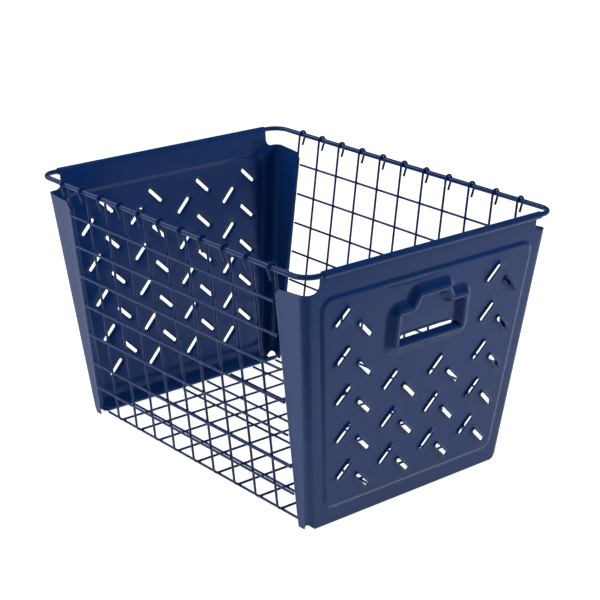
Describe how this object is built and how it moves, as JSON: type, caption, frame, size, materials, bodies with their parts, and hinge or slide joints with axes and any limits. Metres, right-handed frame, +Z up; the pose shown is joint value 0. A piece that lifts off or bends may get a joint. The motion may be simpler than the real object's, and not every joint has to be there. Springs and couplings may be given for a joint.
{
  "type": "wire locker basket",
  "caption": "Open storage basket of welded painted wire hooked over a heavy rim wire, with two pressed and slotted sheet end plates and a raised pull.",
  "frame": {"origin": "middle of the footprint, on the plane the basket stands on", "axes": "+Z up; +Y along the length, away from the plate with the pull; +X across, to the right of someone facing the pull"},
  "size_m": [0.3122, 0.4104, 0.2577],
  "materials": {
    "rim_paint": "gloss navy enamel",
    "plate_paint": "gloss navy enamel",
    "wire_paint": "gloss navy enamel"
  },
  "bodies": {
    "root": {"rim_wire": "rim_paint", "front_plate": "plate_paint", "rear_plate": "plate_paint", "cross_wire_1": "wire_paint", "cross_wire_2": "wire_paint", "cross_wire_3": "wire_paint", "cross_wire_4": "wire_paint", "cross_wire_5": "wire_paint", "cross_wire_6": "wire_paint", "cross_wire_7": "wire_paint", "cross_wire_8": "wire_paint", "cross_wire_9": "wire_paint", "cross_wire_10": "wire_paint", "cross_wire_11": "wire_paint", "left_wire_1": "wire_paint", "left_wire_2": "wire_paint", "left_wire_3": "wire_paint", "left_wire_4": "wire_paint", "left_wire_5": "wire_paint", "left_wire_6": "wire_paint", "left_wire_7": "wire_paint", "right_wire_1": "wire_paint", "right_wire_2": "wire_paint", "right_wire_3": "wire_paint", "right_wire_4": "wire_paint", "right_wire_5": "wire_paint", "right_wire_6": "wire_paint", "right_wire_7": "wire_paint", "bottom_wire_1": "wire_paint", "bottom_wire_2": "wire_paint", "bottom_wire_3": "wire_paint", "bottom_wire_4": "wire_paint", "bottom_wire_5": "wire_paint", "bottom_wire_6": "wire_paint", "bottom_wire_7": "wire_paint", "bottom_wire_8": "wire_paint"}
  },
  "joints": []
}
